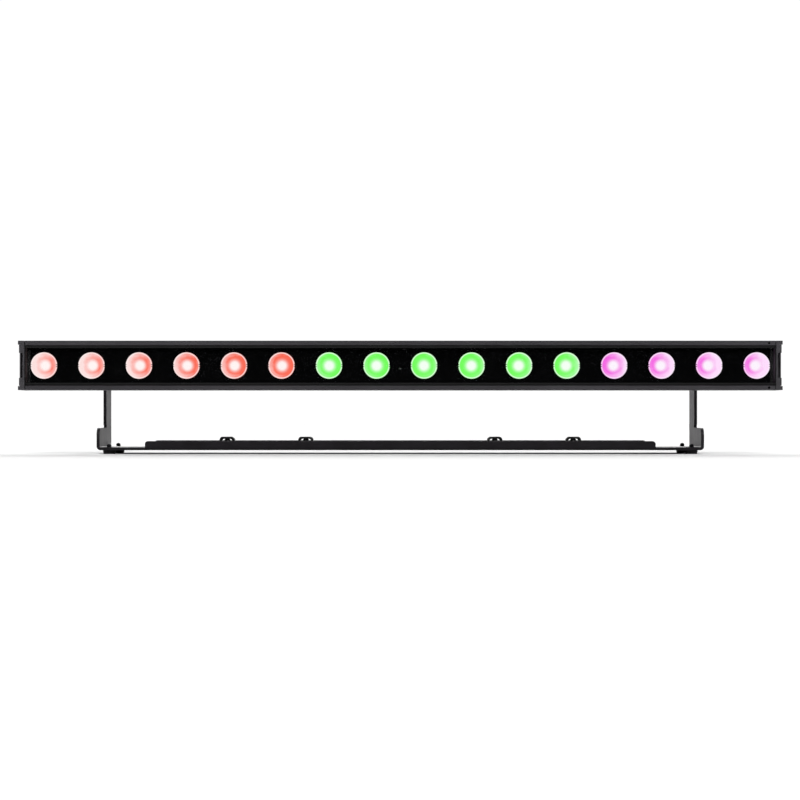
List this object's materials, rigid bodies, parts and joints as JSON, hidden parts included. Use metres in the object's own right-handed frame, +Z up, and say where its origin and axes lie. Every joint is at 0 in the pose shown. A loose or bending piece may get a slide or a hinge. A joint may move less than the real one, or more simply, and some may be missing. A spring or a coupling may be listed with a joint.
{
  "type": "led strip batten",
  "caption": "Long LED pixel batten with one row of round lenses, held by a tilting sheet metal yoke that stands on rubber feet.",
  "frame": {"origin": "on the floor, in the middle of the overall footprint", "axes": "+Z up, +X along the row of lenses to the right as seen from the lit side, light leaves towards -Y"},
  "size_m": [1.0064, 0.131, 0.1495],
  "materials": {
    "black_anodised": "satin black anodised",
    "cast_black": "fine textured black coat on a casting",
    "powder_coat": "fine textured dark powder coat",
    "black_rubber": "matte",
    "clear_glass": "polished",
    "mask_black": "black, soft sheen",
    "lens_red": "clear optic lit red",
    "lens_green": "clear optic lit green",
    "lens_pink": "clear optic lit magenta",
    "sensor_bead": "grey bead",
    "board_white": "white solder mask on a metal core board",
    "board_green": "green circuit board",
    "psu_case": "bare sheet",
    "display_black": "smoked display window",
    "button_plastic": "matte",
    "socket_plastic": "moulded",
    "receptacle_black": "black coated spring steel",
    "knob_plastic": "moulded",
    "zinc_steel": "zinc plated"
  },
  "bodies": {
    "yoke": {"yoke": "powder_coat", "rubber_foot_1": "black_rubber", "foot_bolt_1": "zinc_steel", "rubber_foot_2": "black_rubber", "foot_bolt_2": "zinc_steel", "rubber_foot_3": "black_rubber", "foot_bolt_3": "zinc_steel", "rubber_foot_4": "black_rubber", "foot_bolt_4": "zinc_steel", "clamp_receptacle_1": "receptacle_black", "clamp_receptacle_2": "receptacle_black", "clamp_receptacle_3": "receptacle_black", "clamp_receptacle_4": "receptacle_black", "pivot_washer_left": "zinc_steel", "pivot_washer_right": "zinc_steel"},
    "head": {"housing_extrusion": "black_anodised", "end_cap_left": "cast_black", "end_gasket_left": "black_rubber", "led_board_left": "board_white", "pivot_bracket_left": "powder_coat", "end_cap_right": "cast_black", "end_gasket_right": "black_rubber", "led_board_right": "board_white", "pivot_bracket_right": "powder_coat", "front_glass": "clear_glass", "glass_gasket": "black_rubber", "lens_mask": "mask_black", "lens_01": "lens_red", "lens_02": "lens_red", "lens_03": "lens_red", "lens_04": "lens_red", "lens_05": "lens_red", "lens_06": "lens_red", "lens_07": "lens_green", "lens_08": "lens_green", "lens_09": "lens_green", "lens_10": "lens_green", "lens_11": "lens_green", "lens_12": "lens_green", "lens_13": "lens_pink", "lens_14": "lens_pink", "lens_15": "lens_pink", "lens_16": "lens_pink", "status_sensor": "sensor_bead", "power_supply": "psu_case", "driver_board": "board_green", "rear_panel": "black_anodised", "display_window": "display_black", "power_inlet": "socket_plastic", "power_outlet": "socket_plastic", "data_inlet": "socket_plastic", "data_outlet": "socket_plastic", "vent_plug": "socket_plastic", "safety_eye": "zinc_steel"},
    "knob_left": {"tilt_knob_left": "knob_plastic"},
    "knob_right": {"tilt_knob_right": "knob_plastic"},
    "key_1": {"menu_button_1": "button_plastic"},
    "key_2": {"menu_button_2": "button_plastic"},
    "key_3": {"menu_button_3": "button_plastic"},
    "key_4": {"menu_button_4": "button_plastic"}
  },
  "joints": [
    {"name": "head_tilt", "type": "hinge", "parent": "yoke", "child": "head", "pos_m": [0, 0.041, 0.117], "axis": [-1, 0, 0], "range_deg": [-20, 110]},
    {"name": "left_knob_turn", "type": "hinge", "parent": "yoke", "child": "knob_left", "pos_m": [-0.41, 0.041, 0.117], "axis": [-1, 0, 0], "continuous": true},
    {"name": "right_knob_turn", "type": "hinge", "parent": "yoke", "child": "knob_right", "pos_m": [0.41, 0.041, 0.117], "axis": [1, 0, 0], "continuous": true},
    {"name": "key_1_press", "type": "slide", "parent": "head", "child": "key_1", "axis": [0, -1, 0], "range_m": [0, 0.0008], "stiffness_N_per_m": 1200, "springref_m": -0.0004},
    {"name": "key_2_press", "type": "slide", "parent": "head", "child": "key_2", "axis": [0, -1, 0], "range_m": [0, 0.0008], "stiffness_N_per_m": 1200, "springref_m": -0.0004},
    {"name": "key_3_press", "type": "slide", "parent": "head", "child": "key_3", "axis": [0, -1, 0], "range_m": [0, 0.0008], "stiffness_N_per_m": 1200, "springref_m": -0.0004},
    {"name": "key_4_press", "type": "slide", "parent": "head", "child": "key_4", "axis": [0, -1, 0], "range_m": [0, 0.0008], "stiffness_N_per_m": 1200, "springref_m": -0.0004}
  ]
}
